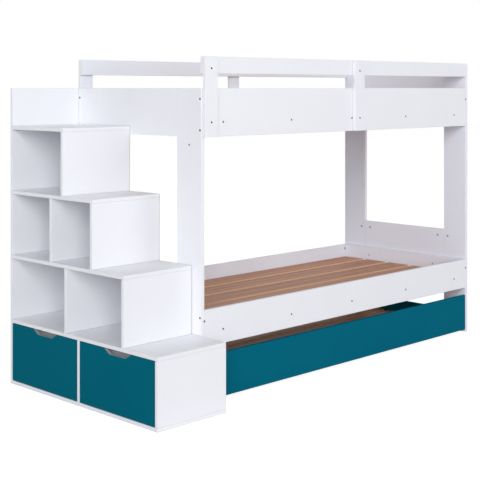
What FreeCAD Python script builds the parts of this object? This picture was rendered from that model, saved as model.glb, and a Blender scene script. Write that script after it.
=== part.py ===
"""Bunk bed with a storage stair and a pull-out trundle bed.

The document is a kit of boards: two end panels, the rails and slatted bases of both
bunks, a guard along each long side, a stair of box steps with niches and two drawers
against the left end panel, and a trundle bed on four small wheels under the lower bunk.

Millimetres.  X runs along the bed, away from the stair.  Y runs from the open side to
the wall.  Z is up.  The outline expressions below count X from the outer face of the
left end panel, Y from the front edge of the end panels and Z from the floor.  The
document's own origin is the middle of the whole footprint, on the floor.
"""

import FreeCAD
import Part
import Sketcher
import os
import re

from FreeCAD import Placement, Rotation, Vector

DIMENSIONS = {
    # bed frame
    "bed_length": 1930,
    "bed_depth": 824,
    "end_panel": 18,
    "board": 15,
    "rail_top": 1290,
    "guard_top": 1420,
    "left_stile": 147,
    "right_stile": 137,
    "rear_stile": 148,
    "window_bottom": 531,
    "window_top": 1090,
    "lower_edge": 234,
    "lower_rail_height": 150,
    "edge_round": 0.8,
    # slatted bases
    "lower_screw_line": 292,
    "upper_screw_line": 1150,
    "first_cross_member": 125,
    "cross_member_pitch": 420,
    "cross_member_count": 5,
    "cross_member_width": 45,
    "cross_member_height": 20,
    "first_slat": 48,
    "slat_pitch": 157.5,
    "slat_count": 5,
    "slat_width": 128,
    "slat_thickness": 12,
    "slat_end_gap": 1,
    # guard
    "post_width": 71,
    "left_post": 9,
    "middle_post": 970.5,
    "guard_board_height": 70,
    "post_screw_drop": 49,
    # screws and bolts
    "screw_diameter": 6,
    "screw_hole": 6.2,
    "rail_screw_length": 45,
    "post_screw_length": 27,
    "bolt_diameter": 7,
    "bolt_hole": 7.2,
    "bolt_length": 50,
    "lower_bolt_line": 262,
    "lower_bolt_pitch": 92,
    "upper_bolt_line": 1118,
    "upper_bolt_pitch": 128,
    "pilot_extra": 1,
    "through_extra": 1,
    "pin_sides": 12,
    # stair
    "stair_width": 358,
    "stair_reach": 145,
    "step_rise": 281,
    "second_step": 56,
    "third_step": 256,
    "fourth_step": 454,
    "lower_divider": 428,
    "upper_divider": 533,
    "drawer_divider": 339.5,
    "back_sheet": 3,
    "rear_panel_lap": 8.5,
    # drawers
    "front_gap": 2,
    "notch_mouth": 162,
    "notch_floor": 100,
    "notch_depth": 19,
    "notch_shift": 10,
    "drawer_wall": 12,
    "drawer_wall_bottom": 40,
    "drawer_wall_height": 180,
    "drawer_box_length": 310,
    "drawer_bottom_sheet": 3,
    "drawer_bottom_lift": 8,
    "groove_depth": 5,
    "runner_gap": 12.7,
    "runner_length": 300,
    "runner_height": 45,
    "runner_bottom": 95,
    "runner_sheet": 1.2,
    "runner_lip": 10,
    "runner_play": 1.3,
    "runner_setback": 2,
    # trundle bed
    "trundle_side_gap": 4,
    "trundle_clearance": 13,
    "trundle_front_top": 195,
    "trundle_wall_top": 112,
    "trundle_member_height": 25,
    "wheel_radius": 16,
    "wheel_width": 13,
    "wheel_bore": 3.06,
    "axle_radius": 3,
    "wheel_inset": 100,
    "bracket_sheet": 2,
    "bracket_play": 2,
    "bracket_length": 36,
    "bracket_top": 36,
    "bracket_bottom": 8,
    "bracket_round": 9,
}

# footprint centre, from the left end panel's outer face and the end panels' front edge
CENTRE_X = "(bed_length - stair_width) / 2"
CENTRE_Y = "(bed_depth + board - stair_reach) / 2"

HORIZONTAL_AXIS = -1
VERTICAL_AXIS = -2

document = FreeCAD.newDocument("bunk_bed_with_storage_stair")
sheet = document.addObject("Spreadsheet::Sheet", "Dims")


def fill_sheet():
    """Write each driving dimension beside its name, and name the value's cell."""
    for row, (name, value) in enumerate(DIMENSIONS.items(), start=1):
        sheet.set(f"A{row}", name)
        sheet.set(f"B{row}", str(value))
        sheet.setAlias(f"B{row}", name)
    document.recompute()


def bound(expression):
    """Put the sheet's name before each dimension in an expression."""
    return re.sub(r"\b[a-z_]+\b", lambda word: f"Dims.{word.group()}", expression)


def number(expression):
    """Present value of an expression."""
    return float(sheet.evalExpression(bound(expression)))


def new_body(name, x, y, z, turn=None):
    """Empty body whose own origin lies at x, y, z."""
    body = document.addObject("PartDesign::Body", name)
    body.Label = name
    body.AllowCompound = True
    body.Placement = Placement(Vector(), turn or Rotation())
    body.setExpression("Placement.Base.x", bound(f"{x} - {CENTRE_X}"))
    body.setExpression("Placement.Base.y", bound(f"{y} - {CENTRE_Y}"))
    body.setExpression("Placement.Base.z", bound(z))
    return body


def origin_feature(body, role):
    """Origin plane or axis of a body."""
    return next(item for item in body.Origin.OriginFeatures if item.Role == role)


def new_sketch(body, name, plane):
    """Sketch on one of the body's own origin planes."""
    sketch = body.newObject("Sketcher::SketchObject", name)
    sketch.AttachmentSupport = (origin_feature(body, plane), [""])
    sketch.MapMode = "FlatFace"
    return sketch


def pin_point(sketch, geometry, end, x, y):
    """Hold a point at x, y from the sketch's origin."""
    for value, kind, axis in ((x, "DistanceX", VERTICAL_AXIS), (y, "DistanceY", HORIZONTAL_AXIS)):
        if value == "0":
            sketch.addConstraint(Sketcher.Constraint("PointOnObject", geometry, end, axis))
            continue
        distance = Sketcher.Constraint(kind, HORIZONTAL_AXIS, 1, geometry, end, number(value))
        index = sketch.addConstraint(distance)
        sketch.setExpression(f"Constraints[{index}]", bound(value))


def polygon(body, name, plane, points):
    """Closed sketch of straight lines through points given as expressions."""
    sketch = new_sketch(body, name, plane)
    places = [Vector(number(x), number(y), 0) for x, y in points]
    for start, end in zip(places, places[1:] + places[:1]):
        sketch.addGeometry(Part.LineSegment(start, end), False)
    for line in range(len(points)):
        following = (line + 1) % len(points)
        sketch.addConstraint(Sketcher.Constraint("Coincident", line, 2, following, 1))
    for line, (x, y) in enumerate(points):
        pin_point(sketch, line, 1, x, y)
    return sketch


def rectangle(body, name, plane, width, height, x="0", y="0"):
    """Closed rectangular sketch with its lower left corner at x, y."""
    right = width if x == "0" else f"{x} + {width}"
    top = height if y == "0" else f"{y} + {height}"
    return polygon(body, name, plane, [(x, y), (right, y), (right, top), (x, top)])


def pad(body, sketch, length, backwards=False):
    """Thicken a sketch along its normal, or against it."""
    feature = body.newObject("PartDesign::Pad", f"{sketch.Name}_pad")
    feature.Profile = sketch
    feature.setExpression("Length", bound(length))
    feature.Reversed = backwards
    document.recompute()
    return feature


def ease_edges(body, feature):
    """Break every edge of a plain board, as its edge band is."""
    chamfer = body.newObject("PartDesign::Chamfer", f"{body.Name}_edges")
    chamfer.Base = (feature, [f"Edge{edge + 1}" for edge in range(len(feature.Shape.Edges))])
    chamfer.setExpression("Size", bound("edge_round"))
    document.recompute()
    return chamfer


def aim(feature, at, along):
    """Point a prism's or cylinder's own axis along a direction, from the point at."""
    feature.Placement = Placement(Vector(), Rotation(Vector(0, 0, 1), along))
    for axis, place in zip("xyz", at):
        feature.setExpression(f"Placement.Base.{axis}", bound(place))


def shape_pin(feature, diameter, length):
    """Size of a pin or pin hole, whose round section is drawn with a few flat sides."""
    feature.setExpression("Polygon", bound("pin_sides"))
    feature.setExpression("Circumradius", bound(f"{diameter} / 2"))
    feature.setExpression("Height", bound(length))
    document.recompute()


def pin(body, name, at, along, diameter, length):
    """Headless screw or bolt shank."""
    shank = body.newObject("PartDesign::AdditivePrism", f"{body.Name}_{name}")
    aim(shank, at, along)
    shape_pin(shank, diameter, length)
    return shank


def pin_hole(body, name, at, along, diameter, depth):
    """Hole for a screw or bolt, from the point at in the direction along."""
    before = body.Tip.Shape.Volume
    hole = body.newObject("PartDesign::SubtractivePrism", f"{body.Name}_{name}")
    aim(hole, at, along)
    shape_pin(hole, diameter, depth)
    check_cut(hole, before)
    return hole


INTO_BOARD = Vector(0, 1, 0)
ALONG_BED = Vector(1, 0, 0)


def screw_hole(body, name, x, z):
    """Screw hole right through a board that stands square to Y."""
    start = (x, "0 - through_extra", z)
    depth = "board + 2 * through_extra"
    return pin_hole(body, name, start, INTO_BOARD, "screw_hole", depth)


def check_cut(feature, before):
    """Stop if a cut has taken nothing away."""
    if feature.Shape.Volume >= before:
        raise RuntimeError(f"{feature.Name} cuts nothing")


def row(body, name, axis, pitch, count):
    """Equal spacing along one of the body's axes."""
    feature = body.newObject("PartDesign::LinearPattern", name)
    feature.Direction = (origin_feature(body, axis), [""])
    feature.Mode = "Spacing"
    feature.setExpression("Offset", bound(pitch))
    if count.isdigit():
        feature.Occurrences = int(count)
    else:
        feature.setExpression("Occurrences", bound(count))
    return feature


def mirror(body, name, plane):
    """Mirror image across one of the body's planes."""
    feature = body.newObject("PartDesign::Mirrored", name)
    feature.MirrorPlane = (origin_feature(body, plane), [""])
    return feature


def repeat(body, name, steps, originals=None):
    """Repeat some features, or the whole piece, by rows and mirrors in turn."""
    pattern = body.newObject("PartDesign::MultiTransform", f"{body.Name}_{name}")
    if originals:
        pattern.Originals = originals
    else:
        pattern.TransformMode = "Whole shape"
    made = []
    for index, (kind, *settings) in enumerate(steps):
        step_name = f"{body.Name}_{name}_{index}"
        made.append(kind(body, step_name, *settings))
    pattern.Transformations = made
    body.Tip = pattern
    document.recompute()
    return pattern


# ---------------------------------------------------------------- plain boards


def side_board(name, x, y, z, width, height, thickness, eased=True):
    """Board that stands square to X: width along Y, height along Z."""
    body = new_body(name, x, y, z)
    blank = pad(body, rectangle(body, f"{name}_outline", "YZ_Plane", width, height), thickness)
    if eased:
        ease_edges(body, blank)
    return body


def front_board(name, x, y, z, length, height, thickness="board", turn=None):
    """Board that stands square to Y: length along X, height along Z."""
    body = new_body(name, x, y, z, turn)
    outline = rectangle(body, f"{name}_outline", "XZ_Plane", length, height)
    ease_edges(body, pad(body, outline, thickness, backwards=True))
    return body


def flat_board(name, x, y, z, length, depth, thickness="board"):
    """Board that lies flat: length along X, depth along Y."""
    body = new_body(name, x, y, z)
    outline = rectangle(body, f"{name}_outline", "XY_Plane", length, depth)
    ease_edges(body, pad(body, outline, thickness))
    return body


# ---------------------------------------------------------------- end panels


BOLT_LINES = [
    ("lower", "lower_bolt_line", "lower_bolt_pitch"),
    ("upper", "upper_bolt_line", "upper_bolt_pitch"),
]


def end_leg(name, x, y, width, height, bolt_inset):
    """Full-height stile of an end panel, bored for the bolts of both rails."""
    body = side_board(name, x, y, "0", width, height, "end_panel")
    depth = "end_panel + 2 * through_extra"
    for level, line, pitch in BOLT_LINES:
        start = ("0 - through_extra", bolt_inset, line)
        hole = pin_hole(body, f"{level}_bolt_hole", start, ALONG_BED, "bolt_hole", depth)
        repeat(body, f"{level}_bolt_pair", [(row, "Z_Axis", pitch, "2")], [hole])


def end_panel(side, x, front_stile, leg_top):
    """Two legs joined by an upper and a middle board, with a window between them."""
    rear_leg = "bed_depth - rear_stile"
    span = f"bed_depth - rear_stile - {front_stile}"
    end_leg(f"{side}_front_leg", x, "0", front_stile, leg_top, "board / 2")
    end_leg(f"{side}_rear_leg", x, rear_leg, "rear_stile", leg_top, "rear_stile - board / 2")
    upper = f"{leg_top} - window_top"
    side_board(f"{side}_upper_board", x, front_stile, "window_top", span, upper, "end_panel")
    middle = "window_bottom - lower_edge"
    side_board(f"{side}_middle_board", x, front_stile, "lower_edge", span, middle, "end_panel")


# ---------------------------------------------------------------- rails and bases


RAIL_LENGTH = "bed_length - 2 * end_panel"
HALF_TURN = Rotation(Vector(0, 0, 1), 180)
BOLT_PILOT_DEPTH = "bolt_length - end_panel + pilot_extra"


def rail(name, rear, bottom, height, screw_line, bolt_line, bolt_pitch):
    """Long rail with a row of screw holes and two blind bolt holes in each end."""
    turn = HALF_TURN if rear else None
    x = "bed_length - end_panel" if rear else "end_panel"
    y = "bed_depth" if rear else "0"
    body = front_board(name, x, y, bottom, RAIL_LENGTH, height, turn=turn)
    first = "first_cross_member - end_panel"
    if rear:
        last = "first_cross_member + (cross_member_count - 1) * cross_member_pitch"
        first = f"bed_length - end_panel - ({last})"
    hole = screw_hole(body, "screw_hole", first, f"{screw_line} - {bottom}")
    spacing = (row, "X_Axis", "cross_member_pitch", "cross_member_count")
    repeat(body, "screw_row", [spacing], [hole])
    for end, x_end, along in (("near", "0", ALONG_BED), ("far", RAIL_LENGTH, -ALONG_BED)):
        place = (x_end, "board / 2", f"{bolt_line} - {bottom}")
        hole = pin_hole(body, f"{end}_bolt_hole", place, along, "bolt_hole", BOLT_PILOT_DEPTH)
        repeat(body, f"{end}_bolt_pair", [(row, "Z_Axis", bolt_pitch, "2")], [hole])
    return body


def post_pilots(body, rear, board_start, height):
    """Blind holes, in the outer face of a rail or guard board, for the two post screws."""
    depth = "post_screw_length - board + pilot_extra"
    for post in ("left_post", "middle_post"):
        centre = f"{post} + post_width / 2"
        x = f"bed_length - end_panel - ({centre})" if rear else f"{centre} - {board_start}"
        pin_hole(body, f"{post}_hole", (x, "0", height), INTO_BOARD, "screw_hole", depth)


def cross_members(name, bottom, height):
    """Row of bearers from the front rail to the rear one, with a screw hole in each end."""
    body = new_body(name, "first_cross_member - cross_member_width / 2", "bed_depth / 2", bottom)
    span = "bed_depth - 2 * board"
    outline = rectangle(body, f"{name}_outline", "XZ_Plane", "cross_member_width", height)
    blank = body.newObject("PartDesign::Pad", f"{name}_pad")
    blank.Profile = outline
    blank.setExpression("Length", bound(span))
    blank.Midplane = True
    document.recompute()
    place = ("cross_member_width / 2", f"0 - ({span}) / 2", f"{height} / 2")
    depth = "rail_screw_length - board + pilot_extra"
    hole = pin_hole(body, "screw_hole", place, INTO_BOARD, "screw_hole", depth)
    repeat(body, "screw_hole_pair", [(mirror, "XZ_Plane")], [hole])
    repeat(body, "row", [(row, "X_Axis", "cross_member_pitch", "cross_member_count")])


def slats(name, x, length, bottom):
    """Row of long slats, laid over the bearers."""
    body = new_body(name, x, "first_slat", bottom)
    outline = rectangle(body, f"{name}_outline", "XY_Plane", length, "slat_width")
    ease_edges(body, pad(body, outline, "slat_thickness"))
    repeat(body, "row", [(row, "Y_Axis", "slat_pitch", "slat_count")])


def end_boards():
    """Inner boards that close the four ends of the two slatted bases."""
    body = new_body("end_boards", "bed_length / 2", "board", "lower_edge")
    inset = "end_panel - bed_length / 2"
    outline = rectangle(body, "end_boards_outline", "XY_Plane", "board", "bed_depth - 2 * board", x=inset)
    ease_edges(body, pad(body, outline, "lower_rail_height"))
    steps = [(row, "Z_Axis", "window_top - lower_edge", "2"), (mirror, "YZ_Plane")]
    repeat(body, "copies", steps)


def slatted_base(level, screw_line):
    """Bearers and slats of one bunk."""
    bottom = f"{screw_line} - cross_member_height / 2"
    cross_members(f"{level}_cross_members", bottom, "cross_member_height")
    inset = "end_panel + board + slat_end_gap"
    length = f"bed_length - 2 * ({inset})"
    slats(f"{level}_slats", inset, length, f"{screw_line} + cross_member_height / 2")


def bunks():
    """Rails and bases of the lower and the upper bunk."""
    lower_bolts, upper_bolts = (lines for _, *lines in BOLT_LINES)
    upper_height = "rail_top - window_top"
    for side, rear in (("front", False), ("rear", True)):
        lower = f"lower_{side}_rail"
        rail(lower, rear, "lower_edge", "lower_rail_height", "lower_screw_line", *lower_bolts)
        upper = f"upper_{side}_rail"
        body = rail(upper, rear, "window_top", upper_height, "upper_screw_line", *upper_bolts)
        post_pilots(body, rear, "end_panel", "upper_screw_line - window_top")
    end_boards()
    slatted_base("lower", "lower_screw_line")
    slatted_base("upper", "upper_screw_line")


# ---------------------------------------------------------------- guard


def guard_posts(name, y, turn, first_x):
    """Two short posts outside the upper rail, each with a screw hole near either end."""
    height = "guard_top - window_top"
    body = front_board(name, first_x, y, "window_top", "post_width", height, turn=turn)
    centre = "post_width / 2"
    screw_hole(body, "lower_screw_hole", centre, "upper_screw_line - window_top")
    screw_hole(body, "upper_screw_hole", centre, f"{height} - post_screw_drop")
    repeat(body, "pair", [(row, "X_Axis", "middle_post - left_post", "2")])


def guard_board(name, rear):
    """Top board of the guard, on the inner faces of its posts."""
    length = "bed_length - end_panel - left_post"
    x = "bed_length - end_panel" if rear else "left_post"
    y = "bed_depth" if rear else "0"
    z = "guard_top - guard_board_height"
    turn = HALF_TURN if rear else None
    body = front_board(name, x, y, z, length, "guard_board_height", turn=turn)
    post_pilots(body, rear, "left_post", "guard_board_height - post_screw_drop")


def guard():
    """Posts and top boards of both long sides."""
    guard_posts("front_guard_posts", "0 - board", None, "left_post")
    guard_posts("rear_guard_posts", "bed_depth + board", HALF_TURN, "middle_post + post_width")
    guard_board("front_guard_board", rear=False)
    guard_board("rear_guard_board", rear=True)


# ---------------------------------------------------------------- screws and bolts


def screws(name, x, z, length, outer_face, steps):
    """Headless screws driven in from both long sides, flush with the outer faces.

    outer_face is the distance from the bed's middle depth to the screws' outer ends.
    """
    body = new_body(name, x, "bed_depth / 2", z)
    start = ("0", f"0 - ({outer_face})", "0")
    pin(body, "screw", start, INTO_BOARD, "screw_diameter", length)
    repeat(body, "copies", steps + [(mirror, "XZ_Plane")])


def bolts():
    """Headless bolts through the end panels into the ends of the rails."""
    body = new_body("rail_bolts", "bed_length / 2", "bed_depth / 2", "0")
    mirrors = [(mirror, "YZ_Plane"), (mirror, "XZ_Plane")]
    for level, line, pitch in BOLT_LINES:
        start = ("0 - bed_length / 2", "board / 2 - bed_depth / 2", line)
        bolt = pin(body, f"{level}_bolt", start, ALONG_BED, "bolt_diameter", "bolt_length")
        repeat(body, f"{level}_copies", [(row, "Z_Axis", pitch, "2")] + mirrors, [bolt])


def fasteners():
    """Screws of the bearers and guard posts, and bolts of the rails."""
    levels = (row, "Z_Axis", "upper_screw_line - lower_screw_line", "2")
    bearers = (row, "X_Axis", "cross_member_pitch", "cross_member_count")
    half_depth = "bed_depth / 2"
    start = ("first_cross_member", "lower_screw_line", "rail_screw_length", half_depth)
    screws("rail_screws", *start, [bearers, levels])
    posts = (row, "X_Axis", "middle_post - left_post", "2")
    heights = (row, "Z_Axis", "guard_top - post_screw_drop - upper_screw_line", "2")
    post_start = ("left_post + post_width / 2", "upper_screw_line", "post_screw_length")
    screws("guard_post_screws", *post_start, f"{half_depth} + board", [posts, heights])
    bolts()


# ---------------------------------------------------------------- stair


STAIR_LEFT = "0 - stair_width"
STEPS = ["0 - stair_reach", "second_step", "third_step", "fourth_step"]


def stair_steps():
    """Riser and tread of each of the four steps; each tread runs back to the rear panel."""
    for index, front in enumerate(STEPS):
        width = "stair_width" if index == 0 else "stair_width - back_sheet"
        foot = "board" if index == 0 else f"{index} * step_rise"
        tread_bottom = f"{index + 1} * step_rise - board"
        riser = f"stair_riser_{index + 1}"
        front_board(riser, STAIR_LEFT, front, foot, width, f"{tread_bottom} - ({foot})")
        depth = f"bed_depth - ({front})"
        flat_board(f"stair_tread_{index + 1}", STAIR_LEFT, front, tread_bottom, width, depth)


def stair_dividers():
    """Upright boards that split the drawer space and the two lower niches."""
    places = [
        ("drawer_divider", "drawer_divider", 0, "stair_width - board"),
        ("lower_niche_divider", "lower_divider", 1, "stair_width - back_sheet"),
        ("upper_niche_divider", "upper_divider", 2, "stair_width - back_sheet"),
    ]
    for name, y, level, width in places:
        foot = "board" if level == 0 else f"{level} * step_rise"
        height = f"{level + 1} * step_rise - board - ({foot})"
        front_board(name, STAIR_LEFT, y, foot, width, height)


def stair_shell():
    """Rear panel, base, bed-side panel of the drawer space, and stepped back sheet."""
    width = "stair_width + rear_panel_lap"
    front_board("stair_rear_panel", STAIR_LEFT, "bed_depth", "0", width, "rail_top")
    depth = "bed_depth + stair_reach"
    flat_board("stair_base_board", STAIR_LEFT, "0 - stair_reach", "0", "stair_width", depth)
    side_depth = "bed_depth + stair_reach - board"
    side_height = "step_rise - 2 * board"
    start = ("0 - board", "board - stair_reach", "board")
    side_board("stair_side_panel", *start, side_depth, side_height, "board")
    body = new_body("stair_back_sheet", "0 - back_sheet", "second_step", "step_rise")
    outline = [("0", "0"), ("bed_depth - second_step", "0"), ("bed_depth - second_step", "3 * step_rise")]
    for level, front in ((3, "fourth_step"), (2, "third_step")):
        run = f"{front} - second_step"
        outline += [(run, f"{level} * step_rise"), (run, f"{level - 1} * step_rise")]
    outline.append(("0", "step_rise"))
    pad(body, polygon(body, "stair_back_outline", "YZ_Plane", outline), "back_sheet")


# ---------------------------------------------------------------- drawers


def channel(height, lip, web, mirrored, y, z):
    """Section of a runner member: a C whose mouth faces +Y, or -Y when mirrored."""
    inner = f"{height} - {web}"
    section = [
        ("0", "0"),
        (lip, "0"),
        (lip, web),
        (web, web),
        (web, inner),
        (lip, inner),
        (lip, height),
        ("0", height),
    ]
    if mirrored:
        section = [(f"0 - ({across})", up) for across, up in section]
    return [(f"{y} + {across}", f"{z} + {up}") for across, up in section]


OPENINGS = {
    "front": ("board - stair_reach", "drawer_divider"),
    "rear": ("drawer_divider + board", "bed_depth"),
}


def cabinet_runners():
    """Fixed runner members, one on each wall of the two drawer spaces."""
    left = f"{STAIR_LEFT} + board + runner_setback"
    body = new_body("cabinet_runners", left, "0", "runner_bottom")
    for name, (start, end) in OPENINGS.items():
        for side, wall, mirrored in (("near", start, False), ("far", end, True)):
            section = channel("runner_height", "runner_lip", "runner_sheet", mirrored, wall, "0")
            outline = polygon(body, f"{name}_{side}_section", "YZ_Plane", section)
            pad(body, outline, "runner_length")


def drawer_runners(name, start, end):
    """Moving runner members, one on each side of a drawer box."""
    body = new_body(f"{name}_drawer_runners", f"{STAIR_LEFT} + board", "0", "runner_bottom")
    inset = "runner_sheet + runner_play"
    height = f"runner_height - 2 * ({inset})"
    for side, box_wall, mirrored in (
        ("near", f"{start} + runner_gap", True),
        ("far", f"{end} - runner_gap", False),
    ):
        section = channel(height, "runner_lip", "runner_sheet", mirrored, box_wall, inset)
        outline = polygon(body, f"{name}_moving_{side}_section", "YZ_Plane", section)
        pad(body, outline, "runner_length")


def drawer_front(name, start, end):
    """Inset drawer front with a trapezoid finger notch in its top edge."""
    body = new_body(f"{name}_drawer_front", STAIR_LEFT, f"{start} + front_gap", "board + front_gap")
    width = f"({end}) - ({start}) - 2 * front_gap"
    height = "step_rise - 2 * board - 2 * front_gap"
    middle = f"({width}) / 2 - notch_shift"
    notch_bottom = f"{height} - notch_depth"
    outline = [
        ("0", "0"),
        (width, "0"),
        (width, height),
        (f"{middle} + notch_mouth / 2", height),
        (f"{middle} + notch_floor / 2", notch_bottom),
        (f"{middle} - notch_floor / 2", notch_bottom),
        (f"{middle} - notch_mouth / 2", height),
        ("0", height),
    ]
    blank = pad(body, polygon(body, f"{name}_front_outline", "YZ_Plane", outline), "board")
    ease_edges(body, blank)


def drawer_sides(name, start, end):
    """Two box sides, each with a groove for the drawer bottom."""
    middle = f"(({start}) + ({end})) / 2"
    left = f"{STAIR_LEFT} + board"
    body = new_body(f"{name}_drawer_sides", left, middle, "drawer_wall_bottom")
    inner = f"(({end}) - ({start})) / 2 - runner_gap - drawer_wall"
    groove_top = "drawer_bottom_lift + drawer_bottom_sheet"
    section = [
        (inner, "0"),
        (f"{inner} + drawer_wall", "0"),
        (f"{inner} + drawer_wall", "drawer_wall_height"),
        (inner, "drawer_wall_height"),
        (inner, groove_top),
        (f"{inner} + groove_depth", groove_top),
        (f"{inner} + groove_depth", "drawer_bottom_lift"),
        (inner, "drawer_bottom_lift"),
    ]
    outline = polygon(body, f"{name}_side_section", "YZ_Plane", section)
    pad(body, outline, "drawer_box_length")
    repeat(body, "pair", [(mirror, "XZ_Plane")])


def drawer(name):
    """Front, grooved sides, back, bottom and moving runner members of one drawer."""
    start, end = OPENINGS[name]
    drawer_front(name, start, end)
    drawer_sides(name, start, end)
    box_front = f"{STAIR_LEFT} + board"
    inside = f"{start} + runner_gap + drawer_wall"
    inner_width = f"({end}) - ({start}) - 2 * (runner_gap + drawer_wall)"
    bottom = "drawer_wall_bottom + drawer_bottom_lift"
    back_bottom = f"{bottom} + drawer_bottom_sheet"
    side_board(
        f"{name}_drawer_back",
        f"{box_front} + drawer_box_length - drawer_wall",
        inside,
        back_bottom,
        inner_width,
        "drawer_wall_height - drawer_bottom_lift - drawer_bottom_sheet",
        "drawer_wall",
    )
    body = new_body(f"{name}_drawer_bottom", box_front, f"{inside} - groove_depth", bottom)
    depth = f"{inner_width} + 2 * groove_depth"
    sheet_outline = rectangle(body, f"{name}_bottom_outline", "XY_Plane", "drawer_box_length", depth)
    pad(body, sheet_outline, "drawer_bottom_sheet")
    drawer_runners(name, start, end)


# ---------------------------------------------------------------- trundle bed


TRUNDLE_LEFT = "end_panel + trundle_side_gap"
TRUNDLE_LENGTH = "bed_length - 2 * (end_panel + trundle_side_gap)"


def trundle_walls():
    """Tall front, low rear board and two low end boards."""
    front_height = "trundle_front_top - trundle_clearance"
    wall_height = "trundle_wall_top - trundle_clearance"
    start = (TRUNDLE_LEFT, "0", "trundle_clearance")
    front_board("trundle_front", *start, TRUNDLE_LENGTH, front_height)
    rear = (TRUNDLE_LEFT, "bed_depth - board", "trundle_clearance")
    front_board("trundle_rear_board", *rear, TRUNDLE_LENGTH, wall_height)
    body = new_body("trundle_end_boards", "bed_length / 2", "board", "trundle_clearance")
    inset = f"{TRUNDLE_LEFT} - bed_length / 2"
    depth = "bed_depth - 2 * board"
    outline = rectangle(body, "trundle_end_outline", "XY_Plane", "board", depth, x=inset)
    ease_edges(body, pad(body, outline, wall_height))
    repeat(body, "pair", [(mirror, "YZ_Plane")])


def trundle_base():
    """Bearers and slats of the trundle bed."""
    body = new_body(
        "trundle_cross_members",
        "first_cross_member - cross_member_width / 2",
        "board",
        "trundle_clearance",
    )
    depth = "bed_depth - 2 * board"
    outline = rectangle(body, "trundle_member_outline", "XY_Plane", "cross_member_width", depth)
    pad(body, outline, "trundle_member_height")
    repeat(body, "row", [(row, "X_Axis", "cross_member_pitch", "cross_member_count")])
    inset = f"{TRUNDLE_LEFT} + board + slat_end_gap"
    bottom = "trundle_clearance + trundle_member_height"
    slats("trundle_slats", inset, f"bed_length - 2 * ({inset})", bottom)


BRACKET_LEFT = f"{TRUNDLE_LEFT} + board"
BRACKET_WIDTH = "wheel_width + 2 * bracket_play + 2 * bracket_sheet"


def round_cheeks(body, feature):
    """Round the lower corners of the bracket's two cheeks."""
    lowest = feature.Shape.BoundBox.ZMin
    corners = []
    for index, edge in enumerate(feature.Shape.Edges, start=1):
        box = edge.BoundBox
        if box.XLength > box.YLength and box.ZMax < lowest + number("bracket_sheet"):
            corners.append(f"Edge{index}")
    fillet = body.newObject("PartDesign::Fillet", "bracket_corners")
    fillet.Base = (feature, corners)
    fillet.setExpression("Radius", bound("bracket_round"))
    document.recompute()


def wheel_brackets():
    """Folded steel forks on the end boards, each with a riveted axle."""
    body = new_body("trundle_wheel_brackets", "bed_length / 2", "wheel_inset", "0")
    left = f"{BRACKET_LEFT} - bed_length / 2"
    right = f"{left} + {BRACKET_WIDTH}"
    under_top = "bracket_top - bracket_sheet"
    section = [
        (left, "bracket_bottom"),
        (f"{left} + bracket_sheet", "bracket_bottom"),
        (f"{left} + bracket_sheet", under_top),
        (f"{right} - bracket_sheet", under_top),
        (f"{right} - bracket_sheet", "bracket_bottom"),
        (right, "bracket_bottom"),
        (right, "bracket_top"),
        (left, "bracket_top"),
    ]
    outline = polygon(body, "bracket_section", "XZ_Plane", section)
    fork = body.newObject("PartDesign::Pad", "bracket_fork")
    fork.Profile = outline
    fork.setExpression("Length", bound("bracket_length"))
    fork.Midplane = True
    document.recompute()
    round_cheeks(body, fork)
    axle = body.newObject("PartDesign::AdditiveCylinder", "bracket_axle")
    aim(axle, (left, "0", "wheel_radius"), ALONG_BED)
    axle.setExpression("Radius", bound("axle_radius"))
    axle.setExpression("Height", bound(BRACKET_WIDTH))
    document.recompute()
    steps = [(row, "Y_Axis", "bed_depth - 2 * wheel_inset", "2"), (mirror, "YZ_Plane")]
    repeat(body, "copies", steps)


def wheel(name, x, y):
    """Small solid wheel, turned about its plain bore."""
    body = new_body(name, x, y, "wheel_radius")
    section = rectangle(
        body,
        f"{name}_section",
        "XY_Plane",
        "wheel_width",
        "wheel_radius - wheel_bore",
        y="wheel_bore",
    )
    turned = body.newObject("PartDesign::Revolution", f"{name}_turned")
    turned.Profile = section
    turned.ReferenceAxis = (section, ["H_Axis"])
    turned.Angle = 360
    document.recompute()


def trundle():
    """Whole trundle bed with its four wheels."""
    trundle_walls()
    trundle_base()
    wheel_brackets()
    left = f"{BRACKET_LEFT} + bracket_sheet + bracket_play"
    right = f"bed_length - ({left}) - wheel_width"
    for side, x in (("left", left), ("right", right)):
        wheel(f"front_{side}_wheel", x, "wheel_inset")
        wheel(f"rear_{side}_wheel", x, "bed_depth - wheel_inset")


# ---------------------------------------------------------------- whole bed


def build():
    """Make every piece."""
    fill_sheet()
    end_panel("left", "0", "left_stile", "rail_top")
    end_panel("right", "bed_length - end_panel", "right_stile", "guard_top")
    bunks()
    guard()
    fasteners()
    stair_steps()
    stair_dividers()
    stair_shell()
    cabinet_runners()
    drawer("front")
    drawer("rear")
    trundle()
    document.recompute()


def check():
    """Stop if any feature failed or any piece isn't a sound solid."""
    for item in document.Objects:
        if "Invalid" in item.State or "Error" in item.State:
            raise RuntimeError(f"{item.Label}: {item.State}")
    for body in bodies():
        if body.Shape.isNull() or not body.Shape.isValid() or not body.Shape.Solids:
            raise RuntimeError(f"{body.Label} has no sound solid")


def bodies():
    """Every piece, in the order it was made."""
    return [item for item in document.Objects if item.TypeId == "PartDesign::Body"]


def export():
    """Write each piece to its own file."""
    os.makedirs("parts", exist_ok=True)
    for body in bodies():
        body.Shape.exportStep(f"parts/{body.Label}.step")
        print(f"{body.Label}: {len(body.Shape.Solids)} solids, {body.Shape.Volume / 1000:.1f} cm3")


build()
check()
export()
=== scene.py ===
"""Looks of a bunk bed with a storage stair, two drawers and a pull-out trundle bed.

Metres throughout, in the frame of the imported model: X runs along the bed away from the
stair, Y from the open side to the wall, Z up from the floor.
"""

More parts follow.
